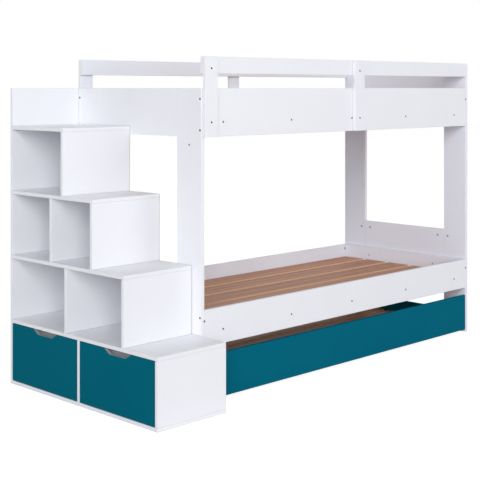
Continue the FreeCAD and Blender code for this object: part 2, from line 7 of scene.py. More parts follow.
import logging
import math
from dataclasses import dataclass, field, replace
from enum import Enum
from typing import Any, Iterable

import bpy
from mathutils import Matrix, Vector


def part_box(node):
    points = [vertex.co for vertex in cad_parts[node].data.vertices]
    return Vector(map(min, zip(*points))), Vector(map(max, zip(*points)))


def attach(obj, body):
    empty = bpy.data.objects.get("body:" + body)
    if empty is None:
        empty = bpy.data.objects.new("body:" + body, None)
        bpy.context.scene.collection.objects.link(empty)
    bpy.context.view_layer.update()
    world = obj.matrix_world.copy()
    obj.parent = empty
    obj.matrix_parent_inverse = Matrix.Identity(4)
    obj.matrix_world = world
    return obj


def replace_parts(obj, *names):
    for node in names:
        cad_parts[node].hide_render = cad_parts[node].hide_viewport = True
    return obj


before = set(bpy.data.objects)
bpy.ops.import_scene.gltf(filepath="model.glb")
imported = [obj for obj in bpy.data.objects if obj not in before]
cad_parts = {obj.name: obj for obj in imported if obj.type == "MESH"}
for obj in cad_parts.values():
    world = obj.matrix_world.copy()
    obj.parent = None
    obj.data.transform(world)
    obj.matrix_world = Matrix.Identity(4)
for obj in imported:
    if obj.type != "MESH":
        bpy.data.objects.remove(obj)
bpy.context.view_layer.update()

MM = 0.001
WHITE_FILM = "F1F2F8"  # the white melamine film, a cool white
FACING = 0.9  # a face looks along an axis when its normal's part along it passes this
FILM_FACING = 0.8  # the same for a film, which also laps over a face's eased edges
SMOOTH_ANGLE = math.radians(35)  # edges that turn by more than this stay sharp
RIM_ROWS = 2  # rows of faces round the eased edge of a small fastener
FIBRE_STRETCH = 0.008  # texture scale along the grain: streaks 125 times as long as wide

log = logging.getLogger("bunk_bed")


# ------------------------ nodes and colours


def linear(code: str) -> tuple[float, float, float, float]:
    """Turn an sRGB hex colour to linear light.

    Args:
        code: six hex digits, such as "ECEEF3".

    Returns:
        Red, green, blue and an alpha of one.
    """
    parts = [int(code[i : i + 2], 16) / 255 for i in (0, 2, 4)]
    light = [c / 12.92 if c <= 0.04045 else ((c + 0.055) / 1.055) ** 2.4 for c in parts]
    return (light[0], light[1], light[2], 1.0)


def per_metre(size_mm: float) -> float:
    """Texture scale whose features are about size_mm wide."""
    return 1 / (size_mm * MM)


def add_node(
    tree: bpy.types.NodeTree,
    kind: str,
    settings: dict[Any, Any] | None = None,
    links: dict[Any, bpy.types.NodeSocket] | None = None,
) -> bpy.types.Node:
    """Add a node with its settings and its incoming links.

    Args:
        tree: the material's or world's node tree.
        kind: the node's type name.
        settings: values by name; an input socket's default, or else a property.
        links: output sockets by the name or number of the input they feed.

    Returns:
        The new node.
    """
    node = tree.nodes.new(kind)
    for name, value in (settings or {}).items():
        if isinstance(name, int) or name in node.inputs:
            node.inputs[name].default_value = value
        else:
            setattr(node, name, value)
    for name, source in (links or {}).items():
        tree.links.new(source, node.inputs[name])
    return node


def normal_part(tree: bpy.types.NodeTree, axis: str) -> bpy.types.NodeSocket:
    """Part of the face's normal along one axis.

    Args:
        tree: the material's node tree.
        axis: "X", "Y" or "Z".

    Returns:
        One on a face that looks along the axis, minus one where it looks against it.
    """
    normal = add_node(tree, "ShaderNodeNewGeometry").outputs["Normal"]
    return add_node(tree, "ShaderNodeSeparateXYZ", links={"Vector": normal}).outputs[axis]


def face_test(
    tree: bpy.types.NodeTree, axis: str, operation: str, limit: float
) -> bpy.types.NodeSocket:
    """Mask of the faces that look a certain way.

    Args:
        tree: the material's node tree.
        axis: "X", "Y" or "Z", the part of the face's normal that is tested.
        operation: "GREATER_THAN" or "LESS_THAN".
        limit: the value it is compared with.

    Returns:
        One on the faces that pass, otherwise nought.
    """
    settings = {"operation": operation, 1: limit}
    part = normal_part(tree, axis)
    return add_node(tree, "ShaderNodeMath", settings, {0: part}).outputs["Value"]


def faded(
    tree: bpy.types.NodeTree,
    tone: bpy.types.NodeSocket,
    code: str,
    share: float,
    pattern: bpy.types.NodeSocket,
    span: tuple[float, float],
) -> bpy.types.NodeSocket:
    """Let a tone fade into a fixed colour as a pattern falls.

    Args:
        tree: the material's node tree.
        tone: the colour where the pattern is high.
        code: six hex digits of the fixed colour.
        share: the fixed colour's share at the end of the fade.
        pattern: the pattern.
        span: the pattern's values where the fade begins and ends.

    Returns:
        The faded colour.
    """
    amount = add_node(
        tree,
        "ShaderNodeMapRange",
        {"From Min": span[0], "From Max": span[1], "To Min": 0.0, "To Max": share},
        {"Value": pattern},
    )
    mixed = add_node(
        tree,
        "ShaderNodeMix",
        {"data_type": "RGBA", 7: linear(code)},
        {0: amount.outputs["Result"], 6: tone},
    )
    return mixed.outputs[2]


class Grain(Enum):
    """Direction in which a plank's fibres run, as the texture's scale along each axis."""

    ALONG_BED = (FIBRE_STRETCH, 1.0, 1.0)
    ACROSS_BED = (1.0, FIBRE_STRETCH, 1.0)


@dataclass(frozen=True)
class Relief:
    """Fine unevenness of a surface: how wide, how deep, how strong and how rich it is."""

    width_mm: float
    depth_mm: float
    strength: float
    detail: float

    def normal(
        self,
        tree: bpy.types.NodeTree,
        place: bpy.types.NodeSocket,
        smooth: bpy.types.NodeSocket | None = None,
    ) -> bpy.types.NodeSocket:
        """Normal of the uneven surface.

        Args:
            tree: the material's node tree.
            place: the coordinate that the unevenness follows.
            smooth: the normal without the unevenness, where it isn't the face's own.

        Returns:
            The normal.
        """
        bumps = add_node(
            tree,
            "ShaderNodeTexNoise",
            {"Scale": per_metre(self.width_mm), "Detail": self.detail},
            {"Vector": place},
        )
        links = {"Height": bumps.outputs["Fac"]}
        if smooth is not None:
            links["Normal"] = smooth
        settings = {"Strength": self.strength, "Distance": self.depth_mm * MM}
        return add_node(tree, "ShaderNodeBump", settings, links).outputs["Normal"]


@dataclass(frozen=True)
class Finish:
    """A surface finish that can be made into one material."""

    name: str
    colour: str
    roughness: tuple[float, float] = (0.42, 0.6)

    def start(self) -> tuple[bpy.types.Material, bpy.types.NodeTree, bpy.types.NodeSocket]:
        """Empty material.

        Returns:
            The material, its node tree and the Object coordinate socket.
        """
        material = bpy.data.materials.new(self.name)
        material.use_nodes = True
        tree = material.node_tree
        tree.nodes.clear()
        place = add_node(tree, "ShaderNodeTexCoord").outputs["Object"]
        return material, tree, place

    def close(
        self,
        tree: bpy.types.NodeTree,
        settings: dict[str, float],
        colour: bpy.types.NodeSocket,
        wear: bpy.types.NodeSocket,
        normal: bpy.types.NodeSocket,
    ) -> None:
        """Add the surface shader and the output.

        Args:
            tree: the material's node tree.
            settings: uniform values of the shader's own sockets.
            colour: the surface's colour.
            wear: pattern that takes the roughness from its lower to its upper value.
            normal: the surface's normal.
        """
        blur = add_node(
            tree,
            "ShaderNodeMapRange",
            {"To Min": self.roughness[0], "To Max": self.roughness[1]},
            {"Value": wear},
        )
        shader = add_node(
            tree,
            "ShaderNodeBsdfPrincipled",
            settings,
            {"Base Color": colour, "Roughness": blur.outputs["Result"], "Normal": normal},
        )
        add_node(tree, "ShaderNodeOutputMaterial", links={"Surface": shader.outputs["BSDF"]})

    def build(self) -> bpy.types.Material:
        """Make the material; each finish has its own way."""
        raise NotImplementedError

    @property
    def material(self) -> bpy.types.Material:
        """The finish's one material, made at its first use."""
        return bpy.data.materials.get(self.name) or self.build()


@dataclass(frozen=True)
class FacedBoard(Finish):
    """Chipboard with a decor face pressed on and an edge band glued round it.

    The press plate leaves a fine pearl emboss, so highlights are broad and satin. Along an
    edge the band is planed flush, which shows as a hairline in the tone of the core. Where
    two boards meet and in inner corners, shade is painted as a thin darker line.
    """

    roughness: tuple[float, float] = (0.36, 0.46)
    cloud: str = "ECEDF3"
    cloud_mm: float = 260
    cloud_detail: float = 3.0
    edge: str = "D6D5D3"
    edge_mm: float = 0.9
    edge_turn: tuple[float, float] = (0.99, 0.86)
    edge_share: float = 0.4
    # Painted shade: a darker line within a few millimetres of a neighbouring face, along joints
    # and in inner corners.
    joint: str = "8C8D93"
    corner_shade_mm: float = 5
    corner_shade_openness: tuple[float, float] = (0.95, 0.5)
    corner_shade_share: float = 0.35
    nearby_rays: int = 4
    pearl: Relief = Relief(width_mm=1.4, depth_mm=0.03, strength=0.35, detail=2.0)
    resin_ior: float = 1.5
    shine: float = 0.5

    def decor(
        self, tree: bpy.types.NodeTree, place: bpy.types.NodeSocket, tone: bpy.types.NodeSocket
    ) -> bpy.types.NodeSocket:
        """Colour of each face; a plain board has its decor all round.

        Args:
            tree: the material's node tree.
            place: the Object coordinate.
            tone: the decor's colour.

        Returns:
            The colour of the board before its edges and painted corner shade.
        """
        return tone

    def banded(
        self,
        tree: bpy.types.NodeTree,
        rounded: bpy.types.NodeSocket,
        tone: bpy.types.NodeSocket,
    ) -> bpy.types.NodeSocket:
        """Show the edge band as a hairline wherever the rounded normal leaves the face's own.

        Args:
            tree: the material's node tree.
            rounded: the normal with its edges rounded.
            tone: the colour away from the edges.

        Returns:
            The colour with its hairlines.
        """
        face = add_node(tree, "ShaderNodeNewGeometry")
        likeness = add_node(
            tree,
            "ShaderNodeVectorMath",
            {"operation": "DOT_PRODUCT"},
            {0: rounded, 1: face.outputs["Normal"]},
        ).outputs["Value"]
        return faded(tree, tone, self.edge, self.edge_share, likeness, self.edge_turn)

    def corner_shaded(
        self, tree: bpy.types.NodeTree, tone: bpy.types.NodeSocket
    ) -> bpy.types.NodeSocket:
        """Paint shade: darken the tone within a few millimetres of a neighbouring face.

        Args:
            tree: the material's node tree.
            tone: the colour away from the painted corner shade.

        Returns:
            The colour with its painted corner shade.
        """
        openness = add_node(
            tree,
            "ShaderNodeAmbientOcclusion",
            {"samples": self.nearby_rays, "Distance": self.corner_shade_mm * MM},
        ).outputs["AO"]
        return faded(tree, tone, self.joint, self.corner_shade_share, openness, self.corner_shade_openness)

    def build(self) -> bpy.types.Material:
        """Faced board: soft clouding, pearl emboss, planed edge band and painted corner shade.

        Returns:
            The material.
        """
        material, tree, place = self.start()
        clouds = add_node(
            tree,
            "ShaderNodeTexNoise",
            {"Scale": per_metre(self.cloud_mm), "Detail": self.cloud_detail},
            {"Vector": place},
        )
        tone = add_node(
            tree,
            "ShaderNodeMix",
            {"data_type": "RGBA", 6: linear(self.colour), 7: linear(self.cloud)},
            {0: clouds.outputs["Fac"]},
        )
        rounded = add_node(
            tree, "ShaderNodeBevel", {"samples": self.nearby_rays, "Radius": self.edge_mm * MM}
        ).outputs["Normal"]
        faces = self.decor(tree, place, tone.outputs[2])
        # The colour carries painted shade along joints and in inner corners.
        self.close(
            tree,
            {"Metallic": 0.0, "IOR": self.resin_ior, "Specular IOR Level": self.shine},
            self.corner_shaded(tree, self.banded(tree, rounded, faces)),
            clouds.outputs["Fac"],
            self.pearl.normal(tree, place, rounded),
        )
        return material


@dataclass(frozen=True)
class PaintedCoolLightBoard(FacedBoard):
    """Faced board with painted cool light on its inner face, which looks a cooler white than its
    outer one.
    """

    # painted cool light: the inner face's cooler white
    inner_painted_light: str = "EEF4FF"
    axis: str = "Y"

    def decor(
        self, tree: bpy.types.NodeTree, place: bpy.types.NodeSocket, tone: bpy.types.NodeSocket
    ) -> bpy.types.NodeSocket:
        """Painted cool light on the face that looks against the axis, into the bed.

        Args:
            tree: the material's node tree.
            place: the Object coordinate.
            tone: the decor's colour.

        Returns:
            The colour of the board before its edges and painted corner shade.
        """
        cool_lit = add_node(
            tree,
            "ShaderNodeMix",
            {"data_type": "RGBA", 7: linear(self.inner_painted_light)},
            {0: face_test(tree, self.axis, "LESS_THAN", -FILM_FACING), 6: tone},
        )
        return cool_lit.outputs[2]


@dataclass(frozen=True)
class RoutedFront(FacedBoard):
    """Faced board with a finger notch routed down from its top edge.

    The cut is painted grey as shade, and the back carries a white balancing film.
    """

    top: float = 0.0
    top_round: float = 0.001
    # painted shade: the grey of the notch's upward cut faces
    cut_shade: str = "9A9DA2"
    cut_shade_facing: float = 0.3
    back: str = WHITE_FILM

    def decor(
        self, tree: bpy.types.NodeTree, place: bpy.types.NodeSocket, tone: bpy.types.NodeSocket
    ) -> bpy.types.NodeSocket:
        """Decor on the front and the edges, film on the back, painted grey shade in the notch.

        Args:
            tree: the material's node tree.
            place: the Object coordinate.
            tone: the decor's colour.

        Returns:
            The colour of the board before its edges and painted corner shade.
        """
        filmed = add_node(
            tree,
            "ShaderNodeMix",
            {"data_type": "RGBA", 7: linear(self.back)},
            {0: face_test(tree, "X", "GREATER_THAN", FILM_FACING), 6: tone},
        )
        at = add_node(tree, "ShaderNodeSeparateXYZ", links={"Vector": place})
        lowered = add_node(
            tree,
            "ShaderNodeMath",
            {"operation": "LESS_THAN", 1: self.top - self.top_round},
            {0: at.outputs["Z"]},
        )
        upward = face_test(tree, "Z", "GREATER_THAN", self.cut_shade_facing)
        in_cut = add_node(
            tree,
            "ShaderNodeMath",
            {"operation": "MULTIPLY"},
            {0: upward, 1: lowered.outputs["Value"]},
        )
        # paint the notch's upward cut faces grey as shade
        cut = add_node(
            tree,
            "ShaderNodeMix",
            {"data_type": "RGBA", 7: linear(self.cut_shade)},
            {0: in_cut.outputs["Value"], 6: filmed.outputs[2]},
        )
        return cut.outputs[2]


@dataclass(frozen=True)
class SawnPlank(Finish):
    """Planed softwood plank under a thin reddish stain.

    Early wood takes more stain than late wood, which gives long darker streaks. The sawn
    edges take less of it and look paler, and are lightened further as painted light. Fibres
    stand up a little, so there is no gloss.
    """

    roughness: tuple[float, float] = (0.44, 0.6)
    dark: str = "966249"
    pale: str = "D09D7A"
    grain: Grain = Grain.ALONG_BED
    streak_mm: float = 11
    streak_detail: float = 4.0
    streak_sway: float = 0.35
    streak_stops: tuple[float, float, float] = (0.3, 0.5, 0.72)
    board_mm: float = 157.5
    board_detail: float = 1.0
    board_share: float = 0.35
    # paler sawn edges: their own tone, raised further as painted light on upright faces
    edge: str = "F0C4A0"
    edge_light_flatness: tuple[float, float] = (0.95, 0.3)
    edge_share: float = 0.95
    fibres: Relief = Relief(width_mm=1.6, depth_mm=0.12, strength=0.4, detail=3.0)
    wood_ior: float = 1.47

    def stained(
        self, tree: bpy.types.NodeTree, streaks: bpy.types.NodeSocket
    ) -> bpy.types.NodeSocket:
        """Colour of the streaks, from dark through the stain's own colour to pale.

        Args:
            tree: the material's node tree.
            streaks: the pattern of the streaks.

        Returns:
            The colour.
        """
        shades = add_node(tree, "ShaderNodeValToRGB", links={"Fac": streaks})
        stops = shades.color_ramp.elements
        stops[0].position = self.streak_stops[0]
        stops[0].color = linear(self.dark)
        stops[1].position = self.streak_stops[2]
        stops[1].color = linear(self.pale)
        stops.new(self.streak_stops[1]).color = linear(self.colour)
        return shades.outputs["Color"]

    def edged_and_lit(
        self, tree: bpy.types.NodeTree, tone: bpy.types.NodeSocket
    ) -> bpy.types.NodeSocket:
        """Paler colour on the sawn edges: partly their own paler tone, partly painted light.

        Args:
            tree: the material's node tree.
            tone: the colour of the flat faces.

        Returns:
            The colour of every face.
        """
        flatness = add_node(
            tree,
            "ShaderNodeMath",
            {"operation": "ABSOLUTE"},
            {0: normal_part(tree, "Z")},
        ).outputs["Value"]
        return faded(tree, tone, self.edge, self.edge_share, flatness, self.edge_light_flatness)

    def build(self) -> bpy.types.Material:
        """Stained plank: streaks and fibres along the grain, paler sawn edges with painted light.

        Returns:
            The material.
        """
        material, tree, place = self.start()
        stretched = add_node(
            tree, "ShaderNodeMapping", {"Scale": self.grain.value}, {"Vector": place}
        ).outputs["Vector"]
        streaks = add_node(
            tree,
            "ShaderNodeTexNoise",
            {
                "Scale": per_metre(self.streak_mm),
                "Detail": self.streak_detail,
                "Distortion": self.streak_sway,
            },
            {"Vector": stretched},
        ).outputs["Fac"]
        boards = add_node(
            tree,
            "ShaderNodeTexNoise",
            {"Scale": per_metre(self.board_mm), "Detail": self.board_detail},
            {"Vector": stretched},
        )
        varied = add_node(
            tree,
            "ShaderNodeMix",
            {"data_type": "RGBA", "blend_type": "SOFT_LIGHT", 0: self.board_share},
            {6: self.stained(tree, streaks), 7: boards.outputs["Fac"]},
        )
        self.close(
            tree,
            {"Metallic": 0.0, "IOR": self.wood_ior},
            self.edged_and_lit(tree, varied.outputs[2]),
            streaks,
            self.fibres.normal(tree, stretched),
        )
        return material


@dataclass(frozen=True)
class PlatedSteel(Finish):
    """Cold-rolled steel with a thin plating.

    The coat follows the rolling marks of the strip, so its highlights are blurred in
    patches. The patches are drawn a few millimetres wide, coarser than real ones, to show.
    """

    roughness: tuple[float, float] = (0.28, 0.45)
    patch: str = "A7AAAE"
    patch_mm: float = 5
    rolling: Relief = Relief(width_mm=0.8, depth_mm=0.01, strength=0.3, detail=2.0)

    def build(self) -> bpy.types.Material:
        """Plated steel: cells of slightly different shade over faint rolling marks.

        Returns:
            The material.
        """
        material, tree, place = self.start()
        scale = per_metre(self.patch_mm)
        cells = add_node(tree, "ShaderNodeTexVoronoi", {"Scale": scale}, {"Vector": place})
        links = {"Color": cells.outputs["Color"]}
        shade = add_node(tree, "ShaderNodeRGBToBW", links=links).outputs["Val"]
        tone = add_node(
            tree,
            "ShaderNodeMix",
            {"data_type": "RGBA", 6: linear(self.colour), 7: linear(self.patch)},
            {0: shade},
        )
        relief = self.rolling.normal(tree, place)
        self.close(tree, {"Metallic": 1.0}, tone.outputs[2], shade, relief)
        return material


@dataclass(frozen=True)
class MouldedPlastic(Finish):
    """Injection-moulded plastic.

    The spark-eroded mould leaves a fine matt texture, rubbed a little smoother in patches.
    """

    rubbed: str = "3A3B3E"
    patch_mm: float = 14
    patch_detail: float = 2.0
    texture: Relief = Relief(width_mm=0.9, depth_mm=0.04, strength=0.4, detail=1.0)
    plastic_ior: float = 1.49

    def build(self) -> bpy.types.Material:
        """Moulded plastic: eroded texture with rubbed patches.

        Returns:
            The material.
        """
        material, tree, place = self.start()
        patches = add_node(
            tree,
            "ShaderNodeTexNoise",
            {"Scale": per_metre(self.patch_mm), "Detail": self.patch_detail},
            {"Vector": place},
        ).outputs["Fac"]
        tone = add_node(
            tree,
            "ShaderNodeMix",
            {"data_type": "RGBA", 6: linear(self.colour), 7: linear(self.rubbed)},
            {0: patches},
        )
        settings = {"Metallic": 0.0, "IOR": self.plastic_ior}
        relief = self.texture.normal(tree, place)
        self.close(tree, settings, tone.outputs[2], patches, relief)
        return material


# Melamine-faced chipboard, pressed white: a cool white with a satin pearl face.
WHITE_MELAMINE = FacedBoard("white_melamine_board", WHITE_FILM)
# The same board with painted cool light on its inner face: for the rear side, and for the right
# end.
WHITE_REAR_BOARD = PaintedCoolLightBoard("white_melamine_rear_board_painted_cool_light", WHITE_FILM)
WHITE_RIGHT_BOARD = PaintedCoolLightBoard("white_melamine_right_board_painted_cool_light", WHITE_FILM, inner_painted_light="EEF2FF", axis="X")
# A decor paper under a dead-matt film, which keeps its teal deep with hardly any shine; the
# hairline at its edges is paler, and the shade painted along its joints and corners is darker.
TEAL_FILM: dict[str, Any] = {
    "edge": "2A7C8F",
    "edge_share": 0.3,
    # painted shade along joints and in inner corners
    "joint": "00343F",
    "roughness": (0.6, 0.7),
    "shine": 0.03,
}
# The same board under the teal film, for the trundle bed's walls.
TEAL_MELAMINE = FacedBoard("teal_melamine_board", "00677D", cloud="00627A", **TEAL_FILM)
# The drawer fronts: a slightly deeper teal outside, painted as shade, white film inside, and a
# notch whose cut is painted grey as shade.
TEAL_DRAWER_FRONT = RoutedFront(
    "teal_melamine_drawer_front",
    # a deeper teal than the trundle's: painted shade on fronts that face -X
    "006579",
    cloud="006075",
    top=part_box("front_drawer_front")[1].z,
    **TEAL_FILM,
)
# Hardboard, lacquered white on the seen face: flatter and a little greyer than the boards.
WHITE_HARDBOARD = FacedBoard(
    "white_hardboard_sheet",
    "E4E6EA",
    cloud="DCDEE2",
    edge="A98F78",
    pearl=Relief(width_mm=2.4, depth_mm=0.03, strength=0.35, detail=2.0),
    roughness=(0.5, 0.62),
)
# Stained softwood slats: reddish brown with long streaks.
SLAT_WOOD = SawnPlank("stained_softwood_slats", "BE8767")
# Bearers are sawn from the same wood, and lie across the bed.
BEARER_WOOD = SawnPlank("stained_softwood_bearers", "BE8767", grain=Grain.ACROSS_BED)
# Zinc-plated strip steel of the drawer runners and wheel forks: pale grey, blurred shine.
ZINC_STEEL = PlatedSteel("zinc_plated_strip", "BDBFC2")
# Black-oxidised screw steel: nearly black, with a dull grey shine.
BLUED_STEEL = PlatedSteel(
    "black_oxide_screw_steel", "27282B", patch="1D1E21", patch_mm=2, roughness=(0.45, 0.6)
)
# Moulded grey ABS, evenly matt: the caps, and the cups whose grey is painted shade behind the
# notches. The caps at the seams are darker.
CAP_PLASTIC = MouldedPlastic("grey_abs_cap", "96979C", rubbed="9FA0A5")
DARK_CAP_PLASTIC = MouldedPlastic("dark_grey_abs_cap", "5A5B5F", rubbed="66686C")
# Moulded polypropylene of the wheels: black and matt.
WHEEL_PLASTIC = MouldedPlastic("black_polypropylene_wheel", "1E1F21")


class Slot(Enum):
    """The record's material slots, named for new pieces."""

    SCREW = "dark_screw"
    PLASTIC = "wheel_plastic"


# ------------------------ mesh work


def deselect() -> None:
    """Go back to object mode and select nothing."""
    if bpy.context.object and bpy.context.object.mode != "OBJECT":
        bpy.ops.object.mode_set(mode="OBJECT")
    bpy.ops.object.select_all(action="DESELECT")


def settle(name: str) -> bpy.types.Object:
    """Name the primitive that was just added, and apply its place and size to its mesh.

    Args:
        name: the new piece's name.

    Returns:
        The new piece.
    """
    piece = bpy.context.object
    piece.name = piece.data.name = name
    bpy.ops.object.transform_apply(location=True, rotation=True, scale=True)
    return piece


def apply_modifier(piece: bpy.types.Object, kind: str, **settings: Any) -> None:
    """Add a modifier to a piece and apply it, and leave only that piece selected.

    Args:
        piece: the mesh object.
        kind: the modifier's type name.
        settings: the modifier's properties by name.
    """
    deselect()
    piece.select_set(True)
    bpy.context.view_layer.objects.active = piece
    bpy.ops.object.modifier_add(type=kind)
    modifier = piece.modifiers[-1]
    for name, value in settings.items():
        setattr(modifier, name, value)
    bpy.ops.object.modifier_apply(modifier=modifier.name)


def select_faces(piece: bpy.types.Object, wanted: Iterable[int]) -> None:
    """Enter edit mode in face select with only some faces selected.

    Args:
        piece: the mesh object, which becomes the active one.
        wanted: indices of the faces.
    """
    chosen = set(wanted)
    bpy.context.view_layer.objects.active = piece
    bpy.ops.object.mode_set(mode="EDIT")
    bpy.ops.mesh.select_mode(type="FACE")
    bpy.ops.mesh.select_all(action="DESELECT")
    bpy.ops.object.mode_set(mode="OBJECT")
    for polygon in piece.data.polygons:
        polygon.select = polygon.index in chosen
    bpy.ops.object.mode_set(mode="EDIT")


def turned_copy(piece: bpy.types.Object, place: Matrix) -> bpy.types.Object:
    """Copy a piece, with its own mesh, and move that mesh.

    Args:
        piece: the modelled original.
        place: where its own origin goes, and how it is turned.

    Returns:
        The copy, with its object at the origin.
    """
    copy = piece.copy()
    copy.data = piece.data.copy()
    copy.data.transform(place)
    bpy.context.scene.collection.objects.link(copy)
    return copy


def set_of(
    name: str, *groups: tuple[bpy.types.Object, Iterable[Matrix]]
) -> bpy.types.Object:
    """Repeat modelled pieces and join the copies.

    Args:
        name: the joined piece's name.
        groups: each modelled piece, which is removed, and where its copies go.

    Returns:
        The joined piece.
    """
    copies = [turned_copy(original, place) for original, places in groups for place in places]
    for original, _ in groups:
        bpy.data.objects.remove(original)
    deselect()
    for copy in copies:
        copy.select_set(True)
    bpy.context.view_layer.objects.active = copies[0]
    bpy.ops.object.join()
    corner_shaded = copies[0]
    corner_shaded.name = corner_shaded.data.name = name
    return corner_shaded


def place_of(at: Vector, inward: Vector) -> Matrix:
    """Matrix that puts a piece's outer end at a point, with its -Z axis going inward."""
    return Matrix.Translation(at) @ (-inward).to_track_quat("Z", "Y").to_matrix().to_4x4()


@dataclass(frozen=True)
class SocketScrew:
    """Screw with a six-sided socket; the board's face is at the origin's height.

    A head is countersunk: its face stands proud by a fraction of a millimetre and its cone
    runs down to the shank. A screw without a head is a plain shank that ends flush.
    """

    diameter: float
    length: float
    socket_width: float
    head: float = 0.0
    proud: float = 0.0003
    socket_depth: float = 0.004
    rim: float = 0.0003
    collar_rims: int = 3
    sides: int = 24
    socket_sides: int = 6

    def headless(self) -> "SocketScrew":
        """The same screw as a plain flush shank."""
        return replace(self, head=0.0)

    def model(self, name: str) -> bpy.types.Object:
        """Model one screw along -Z from the origin.

        Args:
            name: the screw's name.

        Returns:
            The screw.
        """
        top = self.proud if self.head else 0.0
        collar = self.collar_rims * self.rim if self.head else self.length
        deselect()
        bpy.ops.mesh.primitive_cylinder_add(
            vertices=self.sides,
            radius=(self.head or self.diameter) / 2,
            depth=collar,
            location=(0, 0, top - collar / 2),
        )
        screw = settle(name)
        if self.head:
            self.draw_shank(screw, top - collar)
        apply_modifier(screw, "BEVEL", width=self.rim, segments=RIM_ROWS, limit_method="ANGLE")
        self.cut_socket(screw)
        bpy.ops.object.shade_smooth_by_angle(angle=SMOOTH_ANGLE)
        return screw

    def draw_shank(self, screw: bpy.types.Object, under: float) -> None:
        """Draw the cone and the shank out of the underside of the head's collar.

        Args:
            screw: the collar.
            under: height of its underside.
        """
        cone = (self.head - self.diameter) / 2
        narrowing = self.diameter / self.head
        rest = self.length + under - cone
        select_faces(screw, [p.index for p in screw.data.polygons if p.normal.z < -FACING])
        bpy.ops.mesh.extrude_region_move(TRANSFORM_OT_translate={"value": (0, 0, -cone)})
        bpy.ops.transform.resize(
            value=(narrowing, narrowing, 1), center_override=(0, 0, under - cone)
        )
        bpy.ops.mesh.extrude_region_move(TRANSFORM_OT_translate={"value": (0, 0, -rest)})
        bpy.ops.object.mode_set(mode="OBJECT")

    def cut_socket(self, screw: bpy.types.Object) -> None:
        """Sink the socket into the screw's face.

        Args:
            screw: the screw.
        """
        deselect()
        bpy.ops.mesh.primitive_cylinder_add(
            vertices=self.socket_sides,
            radius=self.socket_width / math.sqrt(3),
            depth=2 * self.socket_depth,
            location=(0, 0, 0),
        )
        key = bpy.context.object
        apply_modifier(screw, "BOOLEAN", operation="DIFFERENCE", object=key)
        bpy.data.objects.remove(key)


@dataclass(frozen=True)
class PressedCap:
    """Low round cap with a raised rim; its foot is sunk a little into the XY plane."""

    diameter: float
    height: float = 0.0008
    sunk: float = 0.0006
    rim: float = 0.0008
    step: float = 0.00025
    sides: int = 32

    def model(self, name: str) -> bpy.types.Object:
        """Model one cap that faces +Z.

        Args:
            name: the cap's name.

        Returns:
            The cap.
        """
        deselect()
        bpy.ops.mesh.primitive_cylinder_add(
            vertices=self.sides,
            radius=self.diameter / 2,
            depth=self.height + self.sunk,
            location=(0, 0, (self.height - self.sunk) / 2),
        )
        cap = settle(name)
        select_faces(cap, [p.index for p in cap.data.polygons if p.normal.z > FACING])
        bpy.ops.mesh.inset(thickness=self.rim, depth=0)
        bpy.ops.mesh.inset(thickness=self.step, depth=-self.step)
        apply_modifier(
            cap, "BEVEL", width=self.step / 2, segments=RIM_ROWS, limit_method="ANGLE"
        )
        bpy.ops.object.shade_smooth_by_angle(angle=SMOOTH_ANGLE)
        return cap


@dataclass(frozen=True)
class ShadeCup:
    """Grey cup behind a finger notch as painted shade; open to the front, it reaches below the
    notch.
    """

    width: float = 0.176
    depth: float = 0.012
    hook: float = 0.010
    wall: float = 0.0015
    corner: float = 0.004
    corner_rows: int = 4
    top_gap: float = 0.0005
    notch_band: tuple[float, float] = (0.030, 0.002)

    def model(self, name: str, front: bpy.types.Object) -> bpy.types.Object:
        """Model the cup against the back of a notched front.

        Args:
            name: the cup's name.
            front: the drawer front, whose notch gives the cup's place.

        Returns:
            The cup.
        """
        corners = [vertex.co for vertex in front.data.vertices]
        back = max(at.x for at in corners)
        top = max(at.z for at in corners)
        deepest, nearest = self.notch_band
        notch = [at for at in corners if top - deepest < at.z < top - nearest]
        middle = (min(at.y for at in notch) + max(at.y for at in notch)) / 2
        low = min(at.z for at in notch) - self.hook
        high = top - self.top_gap
        deselect()
        bpy.ops.mesh.primitive_cube_add(
            size=1,
            location=(back + self.depth / 2, middle, (low + high) / 2),
            scale=(self.depth, self.width, high - low),
        )
        cup = settle(name)
        select_faces(cup, [p.index for p in cup.data.polygons if p.normal.x < -FACING])
        bpy.ops.mesh.delete(type="FACE")
        apply_modifier(
            cup, "BEVEL", width=self.corner, segments=self.corner_rows, limit_method="ANGLE"
        )
        apply_modifier(cup, "SOLIDIFY", thickness=self.wall)
        bpy.ops.object.shade_smooth_by_angle(angle=SMOOTH_ANGLE)
        return cup


# ------------------------ sub-assemblies


@dataclass
class Assembly:
    """Boards and fittings that belong together and ride on one body."""

    body: str = "bed_and_stair"
    pieces: list[bpy.types.Object] = field(default_factory=list)

    def dress(self, finish: Finish, *nodes: str) -> None:
        """Give CAD nodes a finish.

        Args:
            finish: the finish.
            nodes: names of the CAD nodes.
        """
        for name in nodes:
            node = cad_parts[name]
            if not node.material_slots:
                node.data.materials.append(finish.material)
            for slot in node.material_slots:
                slot.material = finish.material
            log.info("dressed %s in %s", name, finish.name)

    def add(self, piece: bpy.types.Object, finish: Finish, slot: Slot) -> bpy.types.Object:
        """Finish a new piece and let it ride on the assembly's body.

        Args:
            piece: the modelled piece.
            finish: its finish.
            slot: the record's material slot; not used.

        Returns:
            The same piece.
        """
        piece.data.materials.clear()
        piece.data.materials.append(finish.material)
        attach(piece, self.body)
        self.pieces.append(piece)
        log.info("modelled %s: %d faces", piece.name, len(piece.data.polygons))
        return piece

    def build(self) -> None:
        """Build the assembly's own pieces and dress its nodes."""
        raise NotImplementedError


